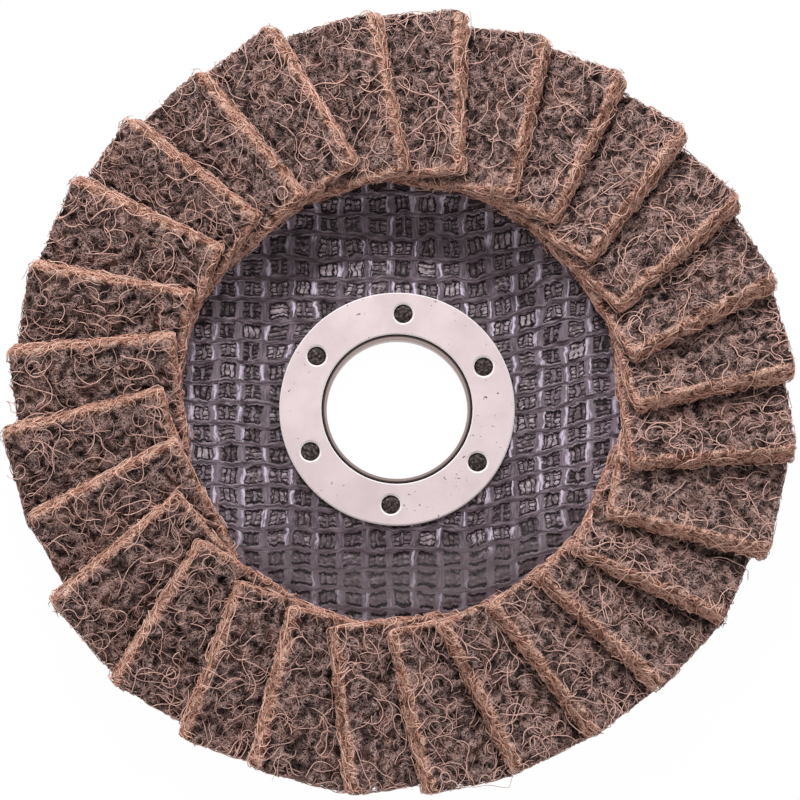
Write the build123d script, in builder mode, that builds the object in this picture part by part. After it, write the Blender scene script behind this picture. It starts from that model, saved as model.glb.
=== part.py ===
from build123d import *
import os
from math import atan, cos, degrees, radians, sin, tan

# Flap disc for an angle grinder, lying on its back with the working side up.
# The origin is on the arbor axis, in the plane of the rear flange's back face.
# Millimetres and degrees. Turns are clockwise from +Y, seen from the working side.

# Steel eyelet: rear flange and the neck that the arbor passes through
bore_d = 22.23
neck_wall = 0.6
flange_d = 37.1
flange_thk = 0.8
flange_proud = 0.3  # how far the flange stands out of the plate's back
rim_chamfer = 0.2

# Steel ring on the working side, as wide as the flange, punched with six keying holes
ring_thk = 0.8
ring_gap = 0.2  # round the neck, inside the ring
lip_drop = 0.2  # the neck ends this far below the ring's face
hole_count = 6
hole_d = 3.0
hole_turn = 3.7
hole_chamfer = 0.3
pip_height = 0.45  # resin that filled the holes when the hub was pressed

# Backing plate: resin and glass cloth, pressed with a sunken centre
plate_d = 116.0
plate_thk = 2.0
dish_floor_r = 24.0
dish_mouth_r = 31.5
dish_depth = 3.1
cone = 4.0  # fall of the rim, outwards

# Bed of cured adhesive that holds the flaps' feet
bed_thk = 0.6
bed_in_r = 34.2
bed_margin = 0.6  # plate left bare outside the bed

# Flaps: slabs of fibre web that lean on each other like roof tiles
flap_count = 28
flap_width = 16.0  # from the foot to the free edge
flap_overhang = 2.8  # how far its outer end reaches past the plate
flap_thk = 4.3  # at the outer end, where the web is slack
flap_gap = 0.15  # between neighbours at the inner end, where it is pinched
inner_corner = 0.35
outer_corner = 0.9
lean = 25.0
first_flap = 0.4
free_edge_x = 10.2  # free edge to the flap's own radius, at the inner end
edge_toe = 0.6  # the outer end of the free edge lies this much nearer
free_edge_y = 35.1  # inner end of the free edge, along the rim
end_slant = 0.4  # the foot starts this much further in than the free edge
foot_relief = 3.0  # cut off the foot's outer corner, so that it stays hidden

# The flaps are laid by hand, so each one lies a little off its place
edge_slip_in = [0.5, 1, 0.5, 0.5, 1, 0.5, 0, 1, 1, 0, -1.5, -1, -0.5, -0.5,
                0.5, -1, 0, 0.5, 0, -0.5, 0, 0.5, -0.5, 0, -0.5, -1, 1, 0]
edge_slip_out = [1.5, 1.5, 1, 0, 0, 0, 0.5, -0.5, 2, 0, 1, 0, -0.5, 0,
                 -2, 0, -2, -2, 0, -0.5, 0, -1, -0.5, 1, 0, -0.5, -1, 1.5]
end_slip = [0.5, 0, 0.5, 0.5, 0.5, 0.5, 0.5, 1, 0.5, -0.5, -1, -1, -0.5, 0,
            0.5, 0, 1, 1, 0.5, -1.5, 0, -0.5, -0.5, -0.5, -0.5, -1, 1, -0.5]

press_gap = 0.05  # clearance where one piece was pressed round another

# Levels and radii that follow from the sizes above
neck_r = bore_d / 2 + neck_wall
ring_bore_r = neck_r + ring_gap
ring_r = flange_d / 2
hole_circle_r = (ring_bore_r + ring_r) / 2
hub_back_z = flange_proud
hub_top_z = hub_back_z + plate_thk
ring_face_z = hub_top_z + ring_thk
crest_z = hub_top_z + dish_depth
plate_r = plate_d / 2
rim_apex_z = crest_z + dish_mouth_r * tan(radians(cone))  # where the rim's cone meets the axis
bed_apex_z = rim_apex_z + bed_thk
bed_out_r = plate_r - bed_margin


def rim_z(radius):
    return rim_apex_z - radius * tan(radians(cone))


def bed_z(radius):
    return rim_z(radius) + bed_thk


def turned(angle):
    # A point on the +Y side goes clockwise by the angle
    return Location((0, 0, 0), (0, 0, -angle))


os.makedirs("parts", exist_ok=True)

# Eyelet: one pressed piece, a flat flange with a neck drawn up from it
with BuildPart() as eyelet:
    with BuildSketch(Plane.XZ):
        with BuildLine():
            Polyline(
                (bore_d / 2, 0),
                (flange_d / 2, 0),
                (flange_d / 2, flange_thk),
                (neck_r, flange_thk),
                (neck_r, ring_face_z - lip_drop),
                (bore_d / 2, ring_face_z - lip_drop),
                close=True,
            )
        make_face()
    revolve(axis=Axis.Z)
    flange_rim = eyelet.edges().filter_by(GeomType.CIRCLE).sort_by(SortBy.RADIUS)[-2:]
    chamfer(flange_rim, length=rim_chamfer)
eyelet.part.label = "eyelet"
export_step(eyelet.part, "parts/eyelet.step")

# Front ring: a punched washer, its edges broken by the press
with BuildPart() as front_ring:
    with BuildSketch(Plane.XY.offset(hub_top_z)):
        Circle(ring_r)
        Circle(ring_bore_r, mode=Mode.SUBTRACT)
        with Locations(turned(hole_turn)):
            with PolarLocations(hole_circle_r, hole_count, start_angle=90):
                Circle(hole_d / 2, mode=Mode.SUBTRACT)
    extrude(amount=ring_thk)
    face_edges = front_ring.faces().sort_by(Axis.Z)[-1].edges().sort_by(SortBy.RADIUS)
    chamfer(face_edges[:hole_count], length=hole_chamfer)
    face_edges = front_ring.faces().sort_by(Axis.Z)[-1].edges().sort_by(SortBy.RADIUS)
    chamfer(face_edges[-2:], length=rim_chamfer)
front_ring.part.label = "front_ring"
export_step(front_ring.part, "parts/front_ring.step")

# Backing plate: one sheet thickness along a dished line, spun about the arbor
with BuildPart() as backing_plate:
    with BuildSketch(Plane.XZ):
        with BuildLine():
            Polyline(
                (neck_r + press_gap, hub_top_z),
                (dish_floor_r, hub_top_z),
                (dish_mouth_r, crest_z),
                (plate_r, rim_z(plate_r)),
            )
            offset(amount=plate_thk, side=Side.RIGHT, kind=Kind.INTERSECTION)
        make_face()
    revolve(axis=Axis.Z)
    with BuildSketch(Plane.XY.offset(hub_back_z)):
        Circle(flange_d / 2 + press_gap)
        Circle(neck_r, mode=Mode.SUBTRACT)
    extrude(amount=flange_thk - flange_proud, mode=Mode.SUBTRACT)
    with BuildSketch(Plane.XY.offset(hub_top_z)):
        with Locations(turned(hole_turn)):
            with PolarLocations(hole_circle_r, hole_count, start_angle=90):
                Circle(hole_d / 2 - press_gap)
    extrude(amount=pip_height)
backing_plate.part.label = "backing_plate"
export_step(backing_plate.part, "parts/backing_plate.step")

# Adhesive bed: an even coat on the rim's cone
with BuildPart() as adhesive_bed:
    with BuildSketch(Plane.XZ):
        with BuildLine():
            Polyline(
                (bed_in_r, rim_z(bed_in_r)),
                (bed_out_r, rim_z(bed_out_r)),
                (bed_out_r, bed_z(bed_out_r)),
                (bed_in_r, bed_z(bed_in_r)),
                close=True,
            )
        make_face()
    revolve(axis=Axis.Z)
adhesive_bed.part.label = "adhesive_bed"
export_step(adhesive_bed.part, "parts/adhesive_bed.step")

# Everything under the bed's surface, wider and deeper than the disc, to trim the flaps' feet
ground_r = plate_d
ground_z = -plate_d
with BuildPart() as under_bed:
    with BuildSketch(Plane.XZ):
        with BuildLine():
            Polyline(
                (0, bed_z(0)),
                (ground_r, bed_z(ground_r)),
                (ground_r, ground_z),
                (0, ground_z),
                close=True,
            )
        make_face()
    revolve(axis=Axis.Z)

# Flap sizes that follow: neighbours just clear each other where they are pinched
pitch = 360 / flap_count
flap_length = plate_r + flap_overhang - free_edge_y
foot_y = free_edge_y - end_slant - edge_toe
foot_pitch = 2 * foot_y * sin(radians(pitch / 2))
pinched_thk = foot_pitch * sin(radians(lean)) - flap_gap
foot_x = free_edge_x - flap_width * cos(radians(lean))
foot_run = flap_width / 2  # slab left behind the foot line, for the bed to trim
taper = degrees(atan((flap_thk - pinched_thk) / flap_length))
foot_reach = flap_width + foot_run


def make_flap(index):
    edge_in_x = flap_width + edge_slip_in[index % len(edge_slip_in)]
    edge_out_x = flap_width + edge_slip_out[index % len(edge_slip_out)] - edge_toe
    inner_y = free_edge_y + end_slip[index % len(end_slip)]
    outer_y = inner_y + flap_length
    skew = (edge_out_x - edge_in_x) / flap_length  # the ends stay square to the free edge
    # Lower face: x climbs from the foot to the free edge, y runs out along the rim
    rim = turned(first_flap + index * pitch) * Location((0, 0, bed_apex_z), (-cone, 0, 0))
    lower_face = Plane(rim * Location((foot_x, 0, 0), (0, -lean, 0)))
    upper_face = Plane(lower_face.location * Location((0, foot_y, pinched_thk), (taper, 0, 0)))
    with BuildPart() as flap:
        with BuildSketch(lower_face) as outline:
            Polygon(
                (-foot_run, inner_y + foot_reach * (skew - end_slant / flap_width)),
                (edge_in_x, inner_y),
                (edge_out_x, outer_y),
                (0, outer_y + flap_width * skew),
                (-foot_run, outer_y + flap_width * skew - foot_relief),
                align=None,
            )
            corners = outline.vertices().sort_by(Axis.X)[-2:].sort_by(Axis.Y)
            fillet(corners[0], radius=inner_corner)
            corners = outline.vertices().sort_by(Axis.Y)[-2:].sort_by(Axis.X)
            fillet(corners[-1], radius=outer_corner)
        extrude(amount=flap_width)
        split(bisect_by=upper_face, keep=Keep.BOTTOM)
        add(under_bed.part, mode=Mode.SUBTRACT)
    flap.part.label = f"flap_{index + 1:02d}"
    return flap.part


# Each flap's free edge lies over the next flap clockwise, the last over the first
for index in range(flap_count):
    leaf = make_flap(index)
    export_step(leaf, f"parts/{leaf.label}.step")
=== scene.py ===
import math
import random

import bmesh
import bpy
import numpy as np
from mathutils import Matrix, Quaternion, Vector, noise
from mathutils.bvhtree import BVHTree


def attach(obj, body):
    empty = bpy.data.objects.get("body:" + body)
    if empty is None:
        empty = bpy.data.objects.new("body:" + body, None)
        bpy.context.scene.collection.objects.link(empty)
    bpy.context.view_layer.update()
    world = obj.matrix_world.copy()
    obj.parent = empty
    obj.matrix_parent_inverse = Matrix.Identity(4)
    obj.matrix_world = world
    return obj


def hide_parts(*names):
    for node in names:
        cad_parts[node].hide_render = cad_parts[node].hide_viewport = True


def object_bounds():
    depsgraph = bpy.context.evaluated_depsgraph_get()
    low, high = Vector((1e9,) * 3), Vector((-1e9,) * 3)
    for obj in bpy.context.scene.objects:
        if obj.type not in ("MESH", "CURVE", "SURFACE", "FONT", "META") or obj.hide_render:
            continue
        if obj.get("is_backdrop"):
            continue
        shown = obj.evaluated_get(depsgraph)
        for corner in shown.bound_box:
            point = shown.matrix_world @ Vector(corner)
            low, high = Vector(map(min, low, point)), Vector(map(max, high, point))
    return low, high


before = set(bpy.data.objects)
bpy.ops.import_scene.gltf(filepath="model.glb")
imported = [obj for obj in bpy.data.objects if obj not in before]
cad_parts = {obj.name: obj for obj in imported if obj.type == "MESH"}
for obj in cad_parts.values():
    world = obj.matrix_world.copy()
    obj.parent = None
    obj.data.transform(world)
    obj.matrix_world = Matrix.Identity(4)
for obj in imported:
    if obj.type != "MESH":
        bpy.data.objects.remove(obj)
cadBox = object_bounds()
scene = bpy.context.scene
mm = 0.001
up = Vector((0, 0, 1))
print("frame loaded:", len(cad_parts), "nodes")


def tint(red, green, blue):
    # a colour as a paint chart gives it, 0 to 255, turned into linear light
    def linear(value):
        share = value / 255
        return share / 12.92 if share <= 0.04045 else ((share + 0.055) / 1.055) ** 2.4
    return (linear(red), linear(green), linear(blue), 1)


class Wire:
    # one output socket, so that shader maths reads as sums
    def __init__(self, graph, socket):
        self.graph = graph
        self.socket = socket

    def maths(self, operation, *terms):
        return self.graph.node("ShaderNodeMath", {"operation": operation}, dict(enumerate(terms)))

    def __add__(self, other):
        return self.maths("ADD", self, other)

    def __radd__(self, other):
        return self.maths("ADD", other, self)

    def __sub__(self, other):
        return self.maths("SUBTRACT", self, other)

    def __rsub__(self, other):
        return self.maths("SUBTRACT", other, self)

    def __mul__(self, other):
        return self.maths("MULTIPLY", self, other)

    def __rmul__(self, other):
        return self.maths("MULTIPLY", other, self)

    def __abs__(self):
        return self.maths("ABSOLUTE", self)

    def __round__(self):
        return self.maths("ROUND", self)

    def orMore(self, other):
        return self.maths("MAXIMUM", self, other)

    def between(self, low, high):
        # 0 below low, 1 above high, eased in between; high may be the smaller one
        return self.graph.node("ShaderNodeMapRange", {"interpolation_type": "SMOOTHSTEP"},
                               {"Value": self, "From Min": low, "From Max": high})


class Graph:
    # the node tree of one new material, or of the world
    def __init__(self, name, group=bpy.data.materials):
        self.material = group.new(name)
        self.material.use_nodes = True
        self.tree = self.material.node_tree
        self.tree.nodes.clear()

    def node(self, kind, settings=None, inputs=None, output=0):
        # settings come first, because a node's sockets can follow from them
        made = self.tree.nodes.new(kind)
        for key, value in (settings or {}).items():
            if key == "stops":
                ramp = made.color_ramp
                while len(ramp.elements) < len(value):
                    ramp.elements.new(1)
                for element, (place, colour) in zip(ramp.elements, value):
                    element.position = place
                    element.color = colour
            else:
                setattr(made, key, value)
        for key, value in (inputs or {}).items():
            if isinstance(value, Wire):
                self.tree.links.new(value.socket, made.inputs[key])
            else:
                made.inputs[key].default_value = value
        return None if output is None else Wire(self, made.outputs[output])

    def place(self):
        return self.node("ShaderNodeTexCoord", output="Object")

    def speckle(self, spot, scale, detail=2, rough=0.5):
        # cloudy noise, about 0.3 to 0.7; scale is in lumps to the metre
        values = {"Vector": spot, "Scale": scale, "Detail": detail, "Roughness": rough}
        return self.node("ShaderNodeTexNoise", inputs=values)

    def attribute(self, name):
        return self.node("ShaderNodeAttribute", {"attribute_name": name}, output="Fac")

    def ramp(self, value, stops):
        return self.node("ShaderNodeValToRGB", {"stops": stops}, {"Fac": value})

    def mix(self, share, first, second):
        return self.node("ShaderNodeMix", {"data_type": "RGBA"},
                         {0: share, 6: first, 7: second}, output=2)

    def bump(self, height, distance, strength=1):
        return self.node("ShaderNodeBump",
                         inputs={"Height": height, "Distance": distance, "Strength": strength})

    def finish(self, surface):
        shader = self.node("ShaderNodeBsdfPrincipled", inputs=surface)
        self.node("ShaderNodeOutputMaterial", inputs={"Surface": shader}, output=None)
        return self.material


def newPiece(name, mesh, materials, slotName, *nodes):
    piece = bpy.data.objects.new(name, mesh)
    scene.collection.objects.link(piece)
    for material in materials:
        mesh.materials.append(material)
    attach(piece, "root")
    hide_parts(*nodes)


def storeValues(mesh, name, values):
    # one number per vertex, which a material reads by name
    layer = mesh.attributes.new(name, "FLOAT", "POINT")
    layer.data.foreach_set("value", np.asarray(values, dtype=np.float32))


def meshPoints(mesh):
    flat = np.empty(len(mesh.vertices) * 3, dtype=np.float32)
    mesh.vertices.foreach_get("co", flat)
    return flat.reshape(-1, 3).astype(float)


def eased(value, low, high):
    share = np.clip((value - low) / (high - low), 0, 1)
    return share * share * (3 - 2 * share)


def roughness(points, size, seed):
    # smooth noise from -1 to 1 at each point; size is the width of its lumps
    shift = Vector((seed * 7.3, seed * 3.1, seed * 5.7))
    return np.array([noise.noise(Vector(point) / size + shift) for point in points])


# sizes of the disc are in mm
web = {
    "grain": 0.38,  # mesh size of the body
    "weld": 0.01,  # corners nearer than this are one
    "pitSize": 1.3,
    "pitDepth": 0.6,
    "pitRange": (0.15, -0.35),  # noise at a pit's rim and at its floor
    "cutFills": 0.65,  # share of a pit's depth that is lost on a cut
    "fineShare": 0.45,  # size of the fine lumps, as a share of a pit's
    "fineLift": 0.13,
    "swellSize": 4.5,
    "swellLift": 0.14,  # slow unevenness of faces and edges
    "raggedSize": 0.8,
    "raggedLift": 0.4,  # on the outer end only
    "cutBand": 1.2,  # how far the rusty colour of a cut runs in from it
    "cutFull": 0.15,  # share of the band where it is at its strongest
    "cutWaver": 0.5,  # share of the band by which its border wanders
    "cutWaverSize": 0.9,
}
# cosines that tell a flap's faces apart
faceSigns = {"broad": 0.6, "upper": 0.75, "under": -0.3, "outerEnd": 0.8}
fibres = {
    "count": 620,  # on each flap
    "quickCount": 60,
    "firstSeed": 100,
    "step": 0.42,
    "onUnderside": 0.04,  # how thickly they lie, against 1 on the broad top
    "onCuts": 2,
    "lappedShare": 0.06,  # kept of those that another flap covers
    "clumpSize": 3.0,
    "clumpRange": (-0.7, 0.35),
    "strayShare": 0.05,  # of them rise away from the flap
    "strayRise": 0.004,
    "waveLift": 0.12,  # each one weaves up and down
    "waveRate": (0.3, 0.7),
    "swingChance": 0.12,  # at each step, of a bend the other way
    "swing": (0.3, 1.4),
    "shake": 0.13,
    "thickness": (0.75, 1.35),
    "tip": 0.45,  # thickness at both ends, as a share of the middle's
    "tuft": (0, 0, 5, 9),  # loose fibres at a flap's outer corner, one of these
    "tuftSpread": 0.5,
    "fringe": 7,  # loose fibres along its inner end
    "fringeDepth": 3,
    "looseTone": 0.7,  # both kinds are swept along with the fibres of this tone
    "looseManner": (0.1, 0.4, 3, 8, 0.6, 2.0),  # as in tones, from the lift on
    "looseRise": 4,
}
# how fibres of each tone lie: share of all, half thickness, lowest and highest lift,
# fewest and most steps, tightest and widest curl
# the darker the tone, the lower the fibre lies: partly fibres dark of their own, partly painted
# shade deep in the mat
tones = {
    0.1: (0.20, 0.070, -0.20, 0.02, 3, 8, 0.5, 2.0),
    0.4: (0.36, 0.070, -0.12, 0.10, 3, 8, 0.5, 2.0),
    0.7: (0.32, 0.070, -0.04, 0.20, 4, 11, 0.6, 2.6),
    1.0: (0.12, 0.072, 0.06, 0.34, 8, 22, 0.8, 4.0),
}
webColours = {
    "dark": [(0.34, tint(20, 12, 12)), (0.52, tint(70, 50, 49)), (0.7, tint(146, 120, 120))],
    "rust": [(0.32, tint(110, 69, 55)), (0.5, tint(210, 153, 131)), (0.7, tint(248, 206, 187))],
    "strand": tint(204, 171, 162),
    "cutStrand": tint(246, 208, 190),
    "fibre": [(0, tint(63, 42, 41)), (0.35, tint(118, 87, 83)), (0.7, tint(180, 140, 131)),
              (1, tint(236, 193, 179))],
    "cutFibre": [(0, tint(120, 77, 62)), (0.35, tint(192, 137, 116)), (0.7, tint(228, 174, 153)),
                 (1, tint(246, 206, 188))],
}
# pattern scales, to the metre, and the three sizes of strand: scale, width and strength
webScales = {"bend": 900, "patch": 620, "grit": 3200, "rusty": 260, "tone": 1400}
strandSizes = ((620, 0.06, 0.9), (1050, 0.08, 0.9), (1750, 0.11, 0.75))


def webBodyMaterial():
    # matted strands over dark hollows, with painted shade deeper in the pits, with grit, and rusty
    # where the web was cut
    graph = Graph("webBody")
    spot = graph.place()
    cut = graph.attribute("cut")
    pit = graph.attribute("pit")
    bend = graph.node("ShaderNodeTexNoise", output="Color",
                      inputs={"Vector": spot, "Scale": webScales["bend"], "Detail": 1})
    bent = graph.node("ShaderNodeVectorMath", {"operation": "SCALE"}, {0: bend, "Scale": 1.1 * mm})
    swirl = graph.node("ShaderNodeVectorMath", {"operation": "ADD"}, {0: spot, 1: bent})
    strands = []
    for scale, width, strength in strandSizes:
        edge = graph.node("ShaderNodeTexVoronoi", {"feature": "DISTANCE_TO_EDGE"},
                          {"Vector": swirl, "Scale": scale}, output="Distance")
        strands.append(edge.between(width, width * 0.3) * strength)
    strand = strands[0].orMore(strands[1]).orMore(strands[2])
    patch = graph.speckle(spot, webScales["patch"], 3, 0.62)
    grit = graph.speckle(spot, webScales["grit"], 1).between(0.36, 0.66)
    # painted shade: the ground darkens where the body is pitted
    level = patch * 0.6 + grit * 0.34 - pit * 0.16 + 0.03
    rust = graph.ramp(level, webColours["rust"])
    rusty = graph.speckle(spot, webScales["rusty"]).between(0.5, 0.66) * 0.3
    dark = graph.mix(rusty, graph.ramp(level, webColours["dark"]), rust)
    ground = graph.mix(cut, dark, rust)
    pale = graph.mix(cut, webColours["strand"], webColours["cutStrand"])
    # strands fade in the pits too, as painted shade
    shown = strand * patch.between(0.3, 0.56) * (1 - pit * 0.7) * 0.85
    colour = graph.mix(shown, ground, pale)
    height = patch * 0.5 + strand * 0.5 + grit * 0.4
    return graph.finish({"Base Color": colour, "Roughness": 0.85, "Specular IOR Level": 0.15,
                         "Normal": graph.bump(height, 0.4 * mm, 0.9)})


def webFibreMaterial():
    graph = Graph("webFibre")
    vary = graph.speckle(graph.place(), webScales["tone"], 1)
    shade = (graph.attribute("tone") + (vary - 0.5) * 0.7).between(-0.1, 1.1)
    colour = graph.mix(graph.attribute("cut"), graph.ramp(shade, webColours["fibre"]),
                       graph.ramp(shade, webColours["cutFibre"]))
    return graph.finish({"Base Color": colour, "Roughness": 0.6, "Specular IOR Level": 0.3})


def cleanShell(source):
    # a copy of a node's mesh with its loose triangles joined
    shell = bmesh.new()
    shell.from_mesh(source.data)
    bmesh.ops.remove_doubles(shell, verts=shell.verts, dist=web["weld"] * mm)
    bmesh.ops.recalc_face_normals(shell, faces=shell.faces)
    shell.faces.ensure_lookup_table()
    return shell


def topNormal(shell):
    # the way the flap's broad upper face looks
    total = Vector()
    for face in shell.faces:
        if face.normal.z > faceSigns["upper"]:
            total += face.normal * face.calc_area()
    return total.normalized()


def cutFaces(shell, top):
    # tree of the faces where a cut shows rusty: the free edge and the inner end
    def plain(face):
        outward = face.calc_center_median().normalized().dot(face.normal)
        return abs(face.normal.dot(top)) > faceSigns["broad"] or outward > faceSigns["outerEnd"]

    cuts = shell.copy()
    bmesh.ops.delete(cuts, geom=[face for face in cuts.faces if plain(face)], context="FACES")
    tree = BVHTree.FromBMesh(cuts)
    cuts.free()
    return tree


def cutShare(tree, points, seed):
    # 1 on a cut, 0 further in than the band
    waver = roughness(points, web["cutWaverSize"] * mm, seed)
    near = np.array([tree.find_nearest(Vector(point))[3] for point in points])
    band = web["cutBand"] * mm
    return 1 - eased(near + waver * band * web["cutWaver"], band * web["cutFull"], band)


def remeshed(shells, size):
    # the same shells as even grids of small faces
    carriers = []
    for shell in shells:
        mesh = bpy.data.meshes.new("shell")
        shell.to_mesh(mesh)
        carrier = bpy.data.objects.new("shell", mesh)
        scene.collection.objects.link(carrier)
        grid = carrier.modifiers.new("grid", "REMESH")
        grid.mode = "VOXEL"
        grid.voxel_size = size
        carriers.append(carrier)
    state = bpy.context.evaluated_depsgraph_get()
    made = [bpy.data.meshes.new_from_object(carrier.evaluated_get(state)) for carrier in carriers]
    for carrier in carriers:
        bpy.data.objects.remove(carrier)
    return made


def flapBody(mesh, cuts, seed):
    # the slab, with the lumps and pits of an open web
    points = meshPoints(mesh)
    normals = np.empty(len(points) * 3, dtype=np.float32)
    mesh.vertices.foreach_get("normal", normals)
    normals = normals.reshape(-1, 3)
    # each kind of lump takes a seed of its own
    pits = eased(roughness(points, web["pitSize"] * mm, seed), *web["pitRange"])
    fine = roughness(points, web["pitSize"] * web["fineShare"] * mm, seed + 40)
    slow = roughness(points, web["swellSize"] * mm, seed + 80)
    cut = cutShare(cuts, points, seed)
    outward = np.sum(points * normals, axis=1) / np.linalg.norm(points, axis=1)
    ragged = roughness(points, web["raggedSize"] * mm, seed + 120) * eased(outward, 0.3, 0.7)
    lift = (-web["pitDepth"] * pits * (1 - web["cutFills"] * cut) + web["fineLift"] * fine
            + web["swellLift"] * slow + web["raggedLift"] * ragged)
    moved = points + normals * lift[:, None] * mm
    mesh.vertices.foreach_set("co", moved.astype(np.float32).ravel())
    storeValues(mesh, "cut", cut)
    # how deep each pit is, which the body's material darkens as painted shade
    storeValues(mesh, "pit", pits)


def startPoints(shell, cover, top, count, dice):
    # places on the faces that can be seen, more of them on the cuts
    def weight(face):
        if face.normal.z < faceSigns["under"]:
            return face.calc_area() * fibres["onUnderside"]
        broad = abs(face.normal.dot(top)) > faceSigns["broad"]
        return face.calc_area() * (1 if broad else fibres["onCuts"])

    weights = [weight(face) for face in shell.faces]
    found = []
    while len(found) < count:
        face = dice.choices(shell.faces, weights)[0]
        first, second = sorted((dice.random(), dice.random()))
        corners = [vertex.co for vertex in face.verts]
        spot = corners[0] * first + corners[1] * (second - first) + corners[2] * (1 - second)
        hidden = cover.ray_cast(spot + face.normal * 0.2 * mm, up)[0] is not None
        onTop = face.normal.z > faceSigns["under"]
        if hidden and onTop and dice.random() > fibres["lappedShare"]:
            continue
        clump = noise.noise(spot / (fibres["clumpSize"] * mm))
        if clump < dice.uniform(*fibres["clumpRange"]):
            continue
        found.append(spot)
    return found


def looseSpots(shell, dice):
    # where fibres stand off: a tuft at the outer corner, and a few along the inner end
    reach = sorted(shell.verts, key=lambda vertex: vertex.co.xy.length)
    corner = reach[-1].co
    tuft = [corner + Vector([dice.gauss(0, fibres["tuftSpread"]) for axis in range(3)]) * mm
            for number in range(dice.choice(fibres["tuft"]))]
    fringeEnd = reach[0].co.xy.length + fibres["fringeDepth"] * mm
    inner = [vertex.co for vertex in reach if vertex.co.xy.length < fringeEnd]
    fringe = [dice.choice(inner).lerp(dice.choice(inner), dice.random())
              for number in range(fibres["fringe"])]
    return tuft + fringe


def fibrePath(skin, start, dice, manner, stray):
    # a curl that creeps over the skin on arcs, and now and then swings the other way
    low, high, fewest, most, tight, wide = manner
    step = fibres["step"] * mm
    spot, normal = skin.find_nearest(start)[:2]
    heading = normal.orthogonal()
    heading.rotate(Quaternion(normal, dice.uniform(0, 2 * math.pi)))
    turn = fibres["step"] / dice.uniform(tight, wide) * dice.choice((-1, 1))
    lift = dice.uniform(low, high)
    wave = dice.uniform(*fibres["waveRate"])
    phase = dice.uniform(0, 6)
    path = []
    for index in range(dice.randint(fewest, most)):
        rise = lift + fibres["waveLift"] * math.sin(phase + wave * index)
        rise += stray * index * index * fibres["strayRise"]
        path.append(spot + normal * rise * mm)
        if dice.random() < fibres["swingChance"]:
            turn *= -dice.uniform(*fibres["swing"])
        heading.rotate(Quaternion(normal, turn + dice.gauss(0, fibres["shake"])))
        # a little inwards, so that the next place is found round an edge too
        spot, newNormal = skin.find_nearest(spot + heading * step - normal * 0.3 * step)[:2]
        heading.rotate(normal.rotation_difference(newNormal))
        heading = (heading - newNormal * heading.dot(newNormal)).normalized()
        normal = newNormal
    return path


def triangleSection():
    # three-sided section that every fibre is swept with, 1 mm in radius
    curve = bpy.data.curves.new("section", "CURVE")
    curve.dimensions = "2D"
    spline = curve.splines.new("POLY")
    spline.points.add(2)
    for index, point in enumerate(spline.points):
        angle = math.radians(120 * index)  # a third of a turn each
        point.co = (math.cos(angle) * mm, math.sin(angle) * mm, 0, 1)
    spline.use_cyclic_u = True
    section = bpy.data.objects.new("section", curve)
    scene.collection.objects.link(section)
    return section


def fibreCurve(paths, thickness, section, dice):
    # one curve for many fibres, as an object that gives their mesh
    curve = bpy.data.curves.new("fibres", "CURVE")
    curve.dimensions = "3D"
    curve.bevel_mode = "OBJECT"
    curve.bevel_object = section
    curve.use_fill_caps = True
    for path in paths:
        spline = curve.splines.new("POLY")
        spline.points.add(len(path) - 1)
        spline.points.foreach_set("co", [value for point in path for value in (*point, 1)])
        thick = thickness * dice.uniform(*fibres["thickness"])
        taper = [thick] * len(path)
        taper[0] = taper[-1] = thick * fibres["tip"]
        spline.points.foreach_set("radius", taper)
    carrier = bpy.data.objects.new("fibres", curve)
    scene.collection.objects.link(carrier)
    return carrier


flapNames = sorted(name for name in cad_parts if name.startswith("flap_"))
shells = [cleanShell(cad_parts[name]) for name in flapNames]
skins = [BVHTree.FromBMesh(shell) for shell in shells]
bodies = remeshed(shells, web["grain"] * mm)
print("flap bodies meshed")
section = triangleSection()
fibreCount = fibres["count"]
flapParts = []
for index, shell in enumerate(shells):
    dice = random.Random(fibres["firstSeed"] + index)
    top = topNormal(shell)
    cuts = cutFaces(shell, top)
    # the flap before this one lies over it
    starts = startPoints(shell, skins[index - 1], top, fibreCount, dice)
    carriers = []
    for tone, (share, thickness, *manner) in tones.items():
        paths = []
        for number in range(min(round(share * fibreCount), len(starts))):
            stray = 1 if dice.random() < fibres["strayShare"] else 0
            paths.append(fibrePath(skins[index], starts.pop(), dice, manner, stray))
        if tone == fibres["looseTone"]:
            manner = fibres["looseManner"]
            paths += [fibrePath(skins[index], loose, dice, manner, fibres["looseRise"])
                      for loose in looseSpots(shell, dice)]
        carriers.append((tone, fibreCurve(paths, thickness, section, dice)))
    flapBody(bodies[index], cuts, index)
    flapParts.append((bodies[index], cuts, carriers))
print("flaps laid:", len(flapParts))

bodyMaterial = webBodyMaterial()
fibreMaterial = webFibreMaterial()
graphState = bpy.context.evaluated_depsgraph_get()
for index, (body, cuts, carriers) in enumerate(flapParts):
    joined = bmesh.new()
    joined.from_mesh(body)
    bodyFaces = len(joined.faces)
    for tone, carrier in carriers:
        mesh = bpy.data.meshes.new_from_object(carrier.evaluated_get(graphState))
        points = meshPoints(mesh)
        storeValues(mesh, "cut", cutShare(cuts, points, index))
        storeValues(mesh, "tone", np.full(len(points), tone))
        joined.from_mesh(mesh)
        bpy.data.objects.remove(carrier)
        bpy.data.meshes.remove(mesh)
    for number, face in enumerate(joined.faces):
        face.material_index = 0 if number < bodyFaces else 1
        face.smooth = True
    joined.to_mesh(body)
    joined.free()
    name = flapNames[index] + "_web"
    body.name = name
    newPiece(name, body, [bodyMaterial, fibreMaterial], "web", flapNames[index])
bpy.data.objects.remove(section)
for shell in shells:
    shell.free()
print("flaps matted")


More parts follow.
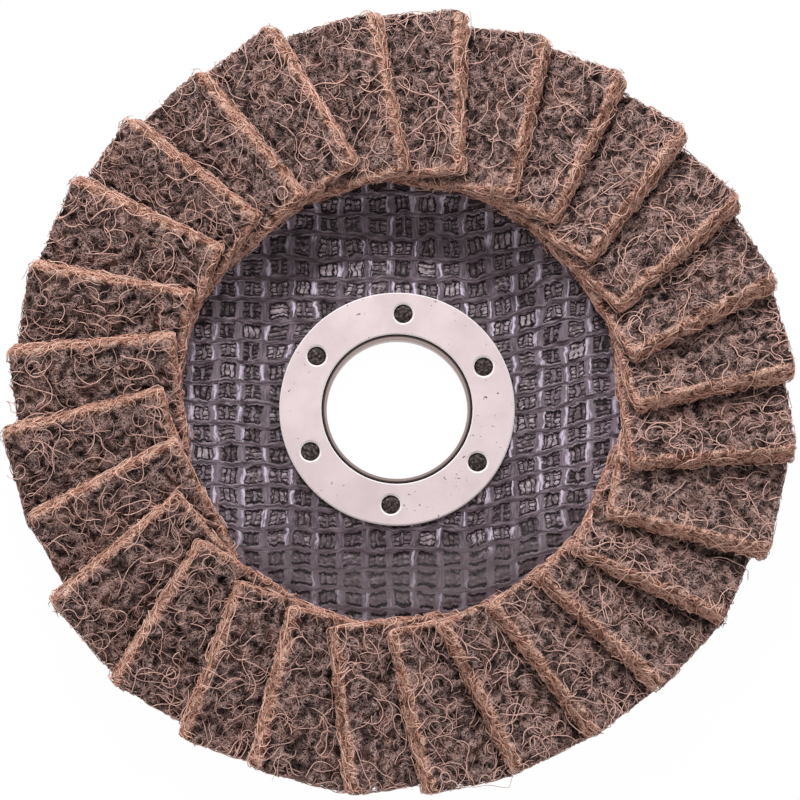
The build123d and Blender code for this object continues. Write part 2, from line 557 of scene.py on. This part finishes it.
plate = {
    "neckRadius": 11.77,
    "ringRadius": 18.55,
    "recessRadius": 18.6,  # round the rear flange
    "flangeRecess": 0.8,
    "holeCircle": 15.23,
    "holeTurn": 3.7,
    "holeCount": 6,
    "pipRadius": 1.45,
    "pipFlatness": 0.32,
    "pipDetail": 4,
    "floor": 2.3,
    "crest": 5.4,
    "floorRadius": 24.0,
    "mouthRadius": 31.5,
    "softBend": 0.9,
    "cone": 4.0,
    "outerRadius": 58.0,
    "rimBevel": 0.3,
    "thickness": 2.0,
    "backShift": 0.25,  # the bends of the back lie this much further in
    "backRadii": (46, 35, 33, 32, 31, 30, 28, 26, 25, 24, 23),
    "clothFrom": 17.9,
    "clothTo": 36.4,
    "clothDown": 42,  # back down on the plate, under the bed
    "clothStep": 0.205,
    "bedFrom": 34.1,  # the cloth climbs over the bed's inner edge here
    "bedClimb": 0.78,
    "turnSteps": 840,
}
# two cloths show: pitch, shift, half width and lift of warp (up and down) and weft (across)
topCloth = {"pitch": (3.93, 3.3), "shift": (-1.1, 0.9), "half": (0.68, 0.5), "lift": (0.34, 0.44)}
underCloth = {"pitch": (0.85, 0.82), "shift": (0.3, 0.1), "half": (0.26, 0.26), "lift": (0.1, 0.14)}
# wander of hand-laid glass, as amount, size and seed
warpWander = ((0.65, 7, 3), (0.34, 1.7, 5))
weftWander = ((0.75, 5, 9), (0.32, 1.4, 6))
weftClimb = {"from": 12, "share": 0.2}  # the weft climbs on the right
yarnFlank = {"out": 0.12, "in": 0.22}  # how far a yarn's flank runs past its half width and into it
resin = {
    "fillFrom": 16,  # it drowns the cloth from here down
    "fillTo": 27,
    "fillWander": (4, 6, 14),
    "fillMost": 0.9,
    "fillLevel": 0.37,
    "sink": 0.25,  # bottom of the weave, under the plain plate
    "clothLift": 0.6,
    "shade": 0.4,  # of the slope at the top, between these radii
    "shadeFrom": (24, 26),
    "shadeTo": (33.5, 32),
    "shadeTurn": (0.3, 0.8),  # cosines off straight up
    "glassAndSheenSides": (17, 26),  # at both sides and on the crest: paler warps with painted sheen, more glints (partly bare glass, partly painted highlight) and painted highlights on the wefts
    "glassAndSheenCrest": (28.5, 31.5),
    "pipLumps": (0.12, 0.6, 2),
}


def plateHeight(radius):
    # top of the plate along its radius, with both bends eased
    soft = plate["softBend"]
    rise = (plate["crest"] - plate["floor"]) / (plate["mouthRadius"] - plate["floorRadius"])
    fall = -math.tan(math.radians(plate["cone"]))
    height = plate["floor"]
    for bend, change in ((plate["floorRadius"], rise), (plate["mouthRadius"], fall - rise)):
        past = np.clip(radius - bend + soft, 0, 2 * soft)
        beyond = np.clip(radius - bend - soft, 0, None)
        height = height + change * (past * past / (4 * soft) + beyond)
    return height


def yarns(place, shift, pitch, half):
    # flat-backed section of the nearest yarn, 0 to 1
    off = np.abs(np.mod(place - shift + pitch / 2, pitch) - pitch / 2)
    return eased(off, half + yarnFlank["out"], half - yarnFlank["in"])


def wandered(place, points, waves):
    for amount, size, seed in waves:
        place = place + amount * roughness(points, size * mm, seed)
    return place


def clothPlaces(points):
    # place across and along the cloth, in mm
    x = points[:, 0] / mm
    y = points[:, 1] / mm
    climb = np.clip(x - weftClimb["from"], 0, None) * weftClimb["share"]
    return wandered(x, points, warpWander), wandered(y - climb, points, weftWander)


def clothRelief(across, along):
    # lift of both cloths above the plate; the upper weft goes over every warp
    lifts = []
    for cloth in (topCloth, underCloth):
        for place, shift, pitch, half, lift in zip((across, along), cloth["shift"], cloth["pitch"],
                                                   cloth["half"], cloth["lift"]):
            lifts.append(yarns(place, shift, pitch, half) * lift)
    return np.maximum.reduce(lifts)


clothColours = {
    "gap": tint(24, 14, 17),
    "resin": tint(82, 69, 74),
    "warp": [(0.32, tint(60, 49, 55)), (0.5, tint(100, 87, 96)), (0.66, tint(134, 119, 130))],
    "sideWarpSheen": tint(160, 146, 156),
    "glint": tint(214, 200, 220),
    "weft": [(0.34, tint(52, 41, 46)), (0.5, tint(88, 75, 82)), (0.68, tint(128, 113, 121))],
    "weftRimHighlight": tint(176, 162, 174),
    "bars": [(0.32, tint(44, 35, 38)), (0.5, tint(102, 89, 95)), (0.72, tint(184, 168, 176))],
    "pool": [(0.34, tint(60, 49, 52)), (0.5, tint(80, 67, 71)), (0.7, tint(100, 86, 91))],
    "shade": tint(20, 12, 14),
    "bare": [(0.36, tint(24, 14, 17)), (0.55, tint(66, 56, 54)), (0.75, tint(132, 120, 112))],
}


def resinClothMaterial():
    # an open cloth of grey yarns, through which a finer cloth shows in black resin
    graph = Graph("resinCloth")
    spot = graph.place()
    across = graph.attribute("across")
    along = graph.attribute("along")
    filled = graph.attribute("filled")
    side = graph.attribute("side")
    shake = graph.speckle(spot, 1250) - 0.5

    def offsets(cloth, sway):
        # place in the weave, counted in yarns, and mm off the nearest yarn, for warp and weft
        runs = [(place - shift + shake * sway) * (1 / pitch)
                for place, shift, pitch in zip((across, along), cloth["shift"], cloth["pitch"])]
        return runs, [abs(run - round(run)) * pitch for run, pitch in zip(runs, cloth["pitch"])]

    def chances(first, second):
        # three random numbers for each cell of the weave
        cell = graph.node("ShaderNodeCombineXYZ", inputs={0: round(first), 1: round(second)})
        dots = graph.node("ShaderNodeTexWhiteNoise", {"noise_dimensions": "2D"}, {"Vector": cell},
                          output="Color")
        return [graph.node("ShaderNodeSeparateXYZ", inputs={0: dots}, output=axis)
                for axis in "XYZ"]

    def streaks(stretch, scale):
        # fine glass filaments that run along the yarn
        way = graph.node("ShaderNodeCombineXYZ",
                         inputs={0: across * stretch[0], 1: along * stretch[1]})
        return graph.speckle(way, scale, 3, 0.6)

    upright = streaks((1, 0.13), 3.4)
    level = streaks((0.16, 1), 3.0)
    mottle = graph.speckle(spot, 1500, 3, 0.6)
    (column, row), (warpOff, weftOff) = offsets(topCloth, 0.8)
    warpHalf, weftHalf = topCloth["half"]
    # widths vary along each yarn
    warpOff = warpOff + (level - 0.5) * 0.7
    weftOff = weftOff + (upright - 0.5) * 0.7
    warpOn = warpOff.between(warpHalf + 0.06, warpHalf - 0.08)
    weftOn = weftOff.between(weftHalf + 0.06, weftHalf - 0.08)

    # a stretch of warp is grey, with a pale glint down one side of it: partly bare glass, partly a
    # painted highlight
    glintAt, glintWidth, glintOn = chances(column, row + 0.5)
    fromGlint = abs((column - round(column)) * topCloth["pitch"][0] + (glintAt - 0.5) * 1.1)
    glint = fromGlint.between(0.16 + glintWidth * 0.5, 0.04) * upright.between(0.34, 0.54)
    glint = glint * (glintOn + side * 0.3 - filled * 0.35).between(0.34, 0.5)
    warpColour = graph.ramp(upright, clothColours["warp"])
    # painted sheen: warps are paler at both sides and on the crest
    warpColour = graph.mix(side * 0.3, warpColour, clothColours["sideWarpSheen"])
    warpColour = graph.mix(glint * 0.95, warpColour, clothColours["glint"])
    warpColour = graph.mix(filled * 0.75, warpColour, clothColours["resin"])
    weftColour = graph.ramp(level, clothColours["weft"])
    # painted highlight along both flanks of each weft, at the sides and on the crest
    weftRimHighlight = abs(weftOff - weftHalf * 0.7).between(0.16, 0) * side * level.between(0.4, 0.55)
    weftColour = graph.mix(weftRimHighlight * 0.7, weftColour, clothColours["weftRimHighlight"])
    weftColour = graph.mix(filled * 0.75, weftColour, clothColours["resin"])

    # a window shows short bars of the cloth below, most level ones with a thread up the middle
    lineOn, upended, bright = chances(column + 0.5, row + 0.5)
    lowWarpOff, lowWeftOff = offsets(underCloth, 0.8)[1]
    lowOff = graph.node("ShaderNodeMix", {"data_type": "FLOAT"},
                        {0: upended.between(0.7, 0.75), 2: lowWeftOff, 3: lowWarpOff})
    bars = graph.ramp(mottle * 0.8 + level * 0.4 + bright * 0.25 - 0.2, clothColours["bars"])
    colour = graph.mix(lowOff.between(0.38, 0.22), clothColours["gap"], bars)
    middle = topCloth["pitch"][0] / 2 - warpOff
    threaded = upended.between(0.62, 0.58)
    colour = graph.mix(middle.between(0.5, 0.36) * threaded, colour, clothColours["gap"])
    colour = graph.mix(middle.between(0.32, 0.2) * threaded, colour, warpColour)
    colour = graph.mix(filled, colour, graph.ramp(mottle, clothColours["pool"]))

    # broken black lines along the yarns, then the yarns themselves
    broken = (mottle + lineOn * 0.3).between(0.42, 0.56)
    line = (weftOff - weftHalf).between(0.42 + filled * 0.22, 0.2 + filled * 0.12) * broken
    warpLined = bright.between(0.5 + filled * 0.4, 0.6 + filled * 0.4)
    line = line.orMore((warpOff - warpHalf).between(0.3, 0.1) * warpLined)
    colour = graph.mix(line, colour, clothColours["gap"])
    colour = graph.mix(warpOn, colour, warpColour)
    colour = graph.mix(weftOn, colour, weftColour)
    colour = graph.mix(graph.attribute("shaded"), colour, clothColours["shade"])
    rough = graph.ramp(graph.speckle(spot, 2200, 3, 0.6), clothColours["bare"])
    colour = graph.mix(graph.attribute("bare"), colour, rough)
    height = (lowOff.between(0.4, 0.1) * 0.3).orMore(warpOn * (0.5 + upright * 0.4))
    height = height.orMore(weftOn * (0.65 + level * 0.3))
    return graph.finish({"Base Color": colour, "Roughness": 0.36 + mottle * 0.25,
                         "Specular IOR Level": 0.14, "Normal": graph.bump(height, 0.15 * mm, 0.7)})


def plateLine():
    # closed section of the plate, radius and height; rows lie close only where the cloth shows
    outer = plate["outerRadius"]
    bevel = plate["rimBevel"]
    cloth = list(np.arange(plate["clothFrom"], plate["clothTo"], plate["clothStep"]))
    topRadii = [plate["neckRadius"], plate["clothFrom"] - 1.5, *cloth, plate["clothDown"],
                outer - bevel]
    line = [(radius, float(plateHeight(radius))) for radius in topRadii]
    rimTop = float(plateHeight(outer))
    line += [(outer, rimTop - bevel), (outer, rimTop - plate["thickness"] + bevel)]
    backRadii = [outer - 0.4, *plate["backRadii"], plate["recessRadius"] + 0.1]
    line += [(radius, float(plateHeight(radius + plate["backShift"])) - plate["thickness"])
             for radius in backRadii]
    recess = plate["flangeRecess"]
    return line + [(plate["recessRadius"], recess), (plate["neckRadius"], recess)]


def plateMesh():
    shape = bmesh.new()
    dots = [shape.verts.new((radius * mm, 0, height * mm)) for radius, height in plateLine()]
    for first, second in zip(dots, dots[1:] + dots[:1]):
        shape.edges.new((first, second))
    bmesh.ops.spin(shape, geom=shape.verts[:] + shape.edges[:], cent=(0, 0, 0), axis=(0, 0, 1),
                   angle=2 * math.pi, steps=plate["turnSteps"], use_merge=True)
    bmesh.ops.recalc_face_normals(shape, faces=shape.faces)
    for number in range(plate["holeCount"]):
        # resin pips in the ring's holes
        angle = math.radians(90 - plate["holeTurn"] + 360 / plate["holeCount"] * number)
        centre = Vector((math.cos(angle), math.sin(angle), 0)) * plate["holeCircle"] * mm
        pip = bmesh.ops.create_icosphere(shape, subdivisions=plate["pipDetail"],
                                         radius=plate["pipRadius"] * mm)["verts"]
        bmesh.ops.scale(shape, verts=pip, vec=(1, 1, plate["pipFlatness"]))
        bmesh.ops.translate(shape, verts=pip, vec=centre + up * (plate["floor"] + 0.05) * mm)
    for face in shape.faces:
        face.smooth = True
    mesh = bpy.data.meshes.new("plateCloth")
    shape.to_mesh(mesh)
    shape.free()
    return mesh


def clothPlate():
    mesh = plateMesh()
    points = meshPoints(mesh)
    radius = np.hypot(points[:, 0], points[:, 1]) / mm
    onTop = points[:, 2] / mm > plateHeight(radius) - 0.4
    shown = onTop & (radius > plate["clothFrom"] + 0.2) & (radius < plate["clothTo"] + 0.2)
    pip = onTop & (radius < plate["clothFrom"] - 0.5)
    across, along = clothPlaces(points)
    depth = wandered(-along, points, [resin["fillWander"]])
    filled = eased(depth, resin["fillFrom"], resin["fillTo"]) * resin["fillMost"]
    filled = np.where(onTop, filled, 0)
    uphill = eased(along / np.maximum(radius, 1), *resin["shadeTurn"])
    slope = eased(radius, *resin["shadeFrom"]) * eased(radius, *resin["shadeTo"])
    shaded = np.where(onTop, uphill * slope * resin["shade"], 0)
    # side: where painted sheen, painted highlights and more glints go, at both sides and on the
    # crest
    side = np.maximum(eased(abs(across), *resin["glassAndSheenSides"]), eased(radius, *resin["glassAndSheenCrest"]))
    # the pips and the cut rim are rough, with no cloth
    bare = pip | (radius > plate["outerRadius"] - 0.5)
    for name, values in {"across": across, "along": along, "filled": filled, "shaded": shaded,
                         "side": side, "bare": bare}.items():
        storeValues(mesh, name, values)
    height = clothRelief(across[shown], along[shown])
    height = np.maximum(height, resin["fillLevel"] * filled[shown])
    edge = eased(radius[shown], plate["clothFrom"], plate["ringRadius"] + 0.2)
    climb = plate["bedClimb"] * eased(radius[shown], plate["bedFrom"] - 0.6, plate["bedFrom"])
    points[shown, 2] += ((height * resin["clothLift"] - resin["sink"]) * edge + climb) * mm
    amount, size, seed = resin["pipLumps"]
    points[pip, 2] += amount * roughness(points[pip], size * mm, seed) * mm
    mesh.vertices.foreach_set("co", points.astype(np.float32).ravel())
    newPiece("plate_cloth", mesh, [resinClothMaterial()], "plate", "backing_plate")


clothPlate()
print("plate woven")


steelLooks = {
    "low": tint(208, 191, 194),
    "high": tint(220, 204, 206),
    "pit": tint(112, 92, 92),
    "rimHighlight": tint(255, 250, 250),
    # painted shade of the neck's lip: its shadow outside, its shaded wall inside
    "lipShadow": tint(58, 44, 42),
    "lipWallShade": tint(150, 131, 127),
    "lipFrom": 1.5,  # height where the neck's rolled lip starts to show
    "lipFull": 2.5,
    "lipReach": (11.82, 11.76),  # the lip lies inside these radii
    "lipSplit": (11.55, 11.42),  # and turns from dark to pale here
}
glueColours = [(0.3, tint(20, 14, 14)), (0.6, tint(46, 36, 34)), (0.8, tint(72, 56, 48))]


def steelMaterial():
    # satin steel, with a painted highlight along its bevelled edges
    graph = Graph("satinSteel")
    spot = graph.place()
    cloudy = graph.speckle(spot, 160, 3, 0.55)
    grain = graph.speckle(spot, 5200, 2, 0.6)
    pitted = graph.speckle(spot, 130, 1).between(0.44, 0.6)
    pits = graph.speckle(spot, 1500).between(0.68, 0.74) * pitted
    facing = graph.node("ShaderNodeNewGeometry", output="True Normal")
    slope = graph.node("ShaderNodeSeparateXYZ", inputs={0: facing}, output="Z")
    # painted highlight on the bevels, the faces that are neither flat nor upright
    rimHighlight = slope.between(0.95, 0.85) * slope.between(0.1, 0.3)
    colour = graph.mix(cloudy.between(0.3, 0.7), steelLooks["low"], steelLooks["high"])
    colour = graph.mix(pits, colour, steelLooks["pit"])
    colour = graph.mix(rimHighlight, colour, steelLooks["rimHighlight"])
    # painted shade on the neck's rolled lip: a dark painted shadow outside, a lighter painted shade
    # on its wall inside
    flat = graph.node("ShaderNodeVectorMath", {"operation": "MULTIPLY"}, {0: spot, 1: (1, 1, 0)})
    reach = graph.node("ShaderNodeVectorMath", {"operation": "LENGTH"}, {0: flat}, output="Value")
    height = graph.node("ShaderNodeSeparateXYZ", inputs={0: spot}, output="Z")
    inside = reach.between(*(radius * mm for radius in steelLooks["lipReach"]))
    neck = height.between(steelLooks["lipFrom"] * mm, steelLooks["lipFull"] * mm) * inside
    split = reach.between(*(radius * mm for radius in steelLooks["lipSplit"]))
    lip = graph.mix(split, steelLooks["lipShadow"], steelLooks["lipWallShade"])
    colour = graph.mix(neck, colour, lip)
    return graph.finish({"Base Color": colour, "Metallic": 0.4 - rimHighlight * 0.3,
                         "Roughness": 0.42 + cloudy * 0.15,
                         "Normal": graph.bump(grain * 0.25 - pits, 0.12 * mm, 0.35)})


def glueMaterial():
    graph = Graph("curedGlue")
    lumps = graph.speckle(graph.place(), 420, 4, 0.6)
    return graph.finish({"Base Color": graph.ramp(lumps, glueColours), "Roughness": 0.5,
                         "Normal": graph.bump(lumps, 0.4 * mm, 0.8)})


def dress(nodeName, material):
    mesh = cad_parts[nodeName].data
    mesh.materials.clear()
    mesh.materials.append(material)


steel = steelMaterial()
dress("front_ring", steel)
dress("eyelet", steel)
dress("adhesive_bed", glueMaterial())
print("steel and adhesive dressed")


# the studio is in metres
studio = {
    "tilt": 8.3,  # of the view, in degrees off straight down
    "distance": 1.2,
    "target": (0.00047, 0.00068, 0.008),
    "lens": 344,
    "sensor": 36,
    "keyPower": 2.1,
    "keyPlace": (-0.05, 0.34, 0.37),
    "keySize": 0.22,
    "fill": 0.56,
    "fillTint": (1, 0.985, 0.99, 1),
    "sight": 20,
    "floorReach": 3,
    "floorDrop": 0.00005,  # just clear of the flange
    "floorTint": tint(244, 244, 244),
    "floorGlow": 0.985,  # the rest of what the eye sees is its own shadow
}


def floorMaterial():
    # near white to the eye and to gloss, with the shadow kept faintly
    graph = Graph("paleFloor")
    seen = graph.node("ShaderNodeLightPath", output="Is Camera Ray")
    glossy = graph.node("ShaderNodeLightPath", output="Is Glossy Ray")
    through = graph.node("ShaderNodeLightPath", output="Is Transmission Ray")
    share = (seen + glossy + through).between(0, 1) * studio["floorGlow"]
    matte = graph.node("ShaderNodeBsdfDiffuse", inputs={"Color": studio["floorTint"]})
    glow = graph.node("ShaderNodeEmission", inputs={"Color": (1, 1, 1, 1), "Strength": 1})
    both = graph.node("ShaderNodeMixShader", inputs={0: share, 1: matte, 2: glow})
    graph.node("ShaderNodeOutputMaterial", inputs={"Surface": both}, output=None)
    return graph.material


def makeFloor():
    shape = bmesh.new()
    bmesh.ops.create_grid(shape, x_segments=1, y_segments=1, size=studio["floorReach"])
    bmesh.ops.translate(shape, verts=shape.verts, vec=up * -studio["floorDrop"])
    mesh = bpy.data.meshes.new("floor")
    shape.to_mesh(mesh)
    shape.free()
    mesh.materials.append(floorMaterial())
    floor = bpy.data.objects.new("floor", mesh)
    scene.collection.objects.link(floor)
    floor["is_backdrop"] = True


def makeWorld():
    graph = Graph("studio", bpy.data.worlds)
    seen = graph.node("ShaderNodeLightPath", output="Is Camera Ray")
    plain = graph.node("ShaderNodeBackground",
                       inputs={"Color": studio["fillTint"], "Strength": studio["fill"]})
    white = graph.node("ShaderNodeBackground", inputs={"Strength": 1})
    both = graph.node("ShaderNodeMixShader", inputs={0: seen, 1: plain, 2: white})
    graph.node("ShaderNodeOutputWorld", inputs={"Surface": both}, output=None)
    scene.world = graph.material


def makeLamp(name, place, power, size):
    lamp = bpy.data.lights.new(name, "AREA")
    lamp.energy = power
    lamp.size = size
    carrier = bpy.data.objects.new(name, lamp)
    carrier.location = place
    aim = Vector(studio["target"]) - Vector(place)
    carrier.rotation_euler = aim.to_track_quat("-Z", "Y").to_euler()
    scene.collection.objects.link(carrier)


def makeCamera():
    lens = bpy.data.cameras.new("camera")
    lens.lens = studio["lens"]
    lens.sensor_width = studio["sensor"]
    lens.clip_end = studio["sight"]
    camera = bpy.data.objects.new("camera", lens)
    tilt = math.radians(studio["tilt"])
    back = Vector((0, -math.sin(tilt), math.cos(tilt))) * studio["distance"]
    camera.location = Vector(studio["target"]) + back
    camera.rotation_euler = (tilt, 0, 0)
    scene.collection.objects.link(camera)
    scene.camera = camera


makeFloor()
makeWorld()
makeLamp("key", studio["keyPlace"], studio["keyPower"], studio["keySize"])
makeCamera()
scene.view_settings.view_transform = "Standard"
print("studio set")

[list(corner) for corner in cadBox]
[list(corner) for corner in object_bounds()]
